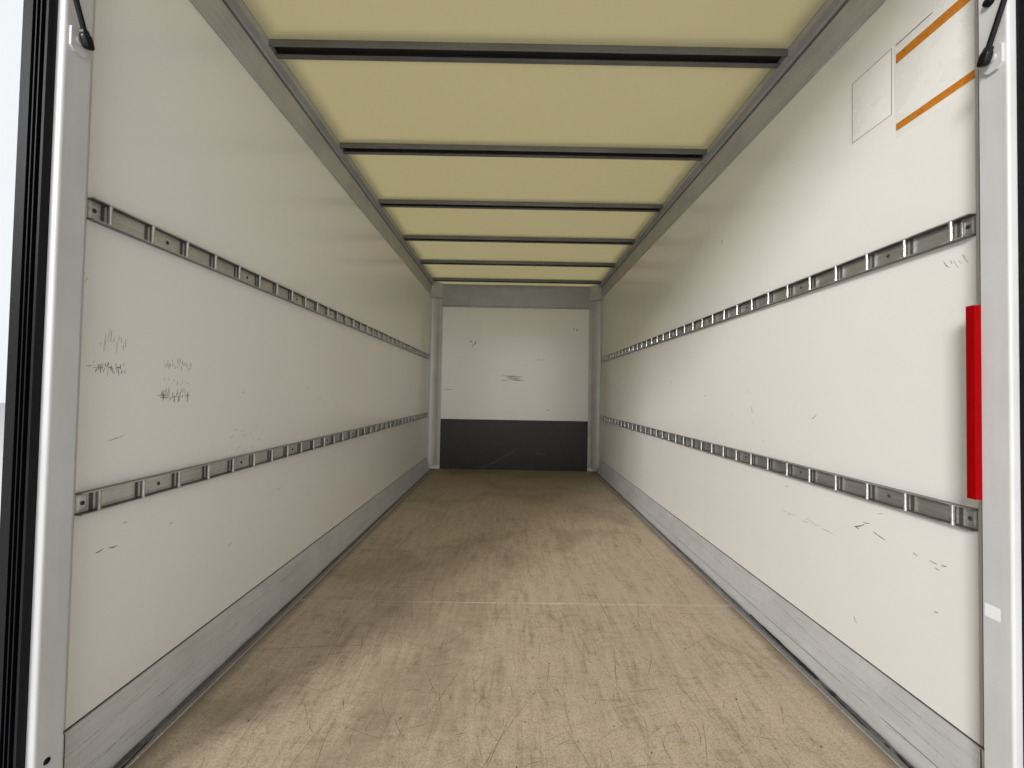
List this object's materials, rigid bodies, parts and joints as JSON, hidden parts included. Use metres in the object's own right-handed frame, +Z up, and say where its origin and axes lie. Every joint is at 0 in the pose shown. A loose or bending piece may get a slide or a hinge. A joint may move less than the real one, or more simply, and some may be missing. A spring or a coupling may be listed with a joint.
{
  "type": "cargo box body of a box truck",
  "caption": "Load box body of a box truck with rear portal, top-hinged flap on gas struts, lashing rails, kick plates and roof bows.",
  "frame": {"origin": "middle of the footprint of the whole body with its flap open, on the underside of the subframe runners", "axes": "+X to the right-hand wall, +Y forwards to the cab, +Z up"},
  "size_m": [2.144, 4.8736, 2.5108],
  "materials": {
    "galvanised": "dull zinc",
    "rail_aluminium": "satin, dusty",
    "portal_steel": "satin grey, scuffed",
    "deck_board": "dark coated ply, worn",
    "wall_panel": "satin, grubby white",
    "kick_board": "dark coated ply",
    "roof_sheet": "translucent sheet",
    "seal_rubber": "matt",
    "kick_aluminium": "satin, scratched",
    "bar_steel": "bright zinc",
    "red_strip": "gloss",
    "strut_black": "gloss black",
    "strut_rod": "polished",
    "lamp_amber": "clear gloss",
    "lamp_clear": "clear gloss",
    "lamp_red": "clear gloss"
  },
  "bodies": {
    "body": {"runner_right": "galvanised", "runner_left": "galvanised", "cross_bearers": "galvanised", "chassis_consoles": "galvanised", "side_rail_right": "rail_aluminium", "side_rail_left": "rail_aluminium", "front_sill": "rail_aluminium", "rear_sill": "portal_steel", "floor_boards": "deck_board", "wall_right": "wall_panel", "wall_left": "wall_panel", "front_wall": "wall_panel", "front_kick_panel": "kick_board", "front_post_right": "rail_aluminium", "front_post_left": "rail_aluminium", "roof_corner_right": "rail_aluminium", "roof_corner_left": "rail_aluminium", "cant_rail_right": "rail_aluminium", "cant_rail_left": "rail_aluminium", "front_header": "rail_aluminium", "roof_panel": "roof_sheet", "roof_bows": "rail_aluminium", "rear_post_right": "portal_steel", "rear_post_left": "portal_steel", "rear_header": "portal_steel", "portal_seals": "seal_rubber", "kick_plate_right": "kick_aluminium", "kick_plate_left": "kick_aluminium", "lash_rails_right": "rail_aluminium", "lash_rails_left": "rail_aluminium", "lash_bars_right": "bar_steel", "lash_bars_left": "bar_steel", "red_strip": "red_strip", "hinge_brackets": "galvanised", "strut_feet": "galvanised", "lamps_amber": "lamp_amber", "lamps_white": "lamp_clear", "lamps_red": "lamp_red"},
    "flap": {"flap_frame": "rail_aluminium", "flap_panel": "wall_panel", "hinge_leaves": "galvanised", "strut_lugs": "galvanised"},
    "strut_tube_right": {"strut_tube_right": "strut_black"},
    "strut_tube_left": {"strut_tube_left": "strut_black"},
    "strut_rod_right": {"strut_rod_right": "strut_rod"},
    "strut_rod_left": {"strut_rod_left": "strut_rod"}
  },
  "joints": [
    {"name": "flap_hinge", "type": "hinge", "parent": "body", "child": "flap", "pos_m": [0, -1.73067, 2.397], "axis": [1, 0, 0], "range_deg": [0, 98]},
    {"name": "strut_eye_right", "type": "hinge", "parent": "flap", "child": "strut_tube_right", "pos_m": [0.955, -1.87061, 2.37123], "axis": [1, 0, 0], "range_deg": [-118, 0]},
    {"name": "strut_slide_right", "type": "slide", "parent": "strut_tube_right", "child": "strut_rod_right", "axis": [0, -0.3452, 0.9385], "range_m": [0, 0.146]},
    {"name": "strut_eye_left", "type": "hinge", "parent": "flap", "child": "strut_tube_left", "pos_m": [-0.955, -1.87061, 2.37123], "axis": [1, 0, 0], "range_deg": [-118, 0]},
    {"name": "strut_slide_left", "type": "slide", "parent": "strut_tube_left", "child": "strut_rod_left", "axis": [0, -0.3452, 0.9385], "range_m": [0, 0.146]}
  ],
  "couplings": [
    {"joint": "strut_eye_right", "follows": "flap_hinge", "ratio": -1.1883},
    {"joint": "strut_slide_right", "follows": "flap_hinge", "m_per_rad": 0.08435},
    {"joint": "strut_eye_left", "follows": "flap_hinge", "ratio": -1.1883},
    {"joint": "strut_slide_left", "follows": "flap_hinge", "m_per_rad": 0.08435}
  ]
}
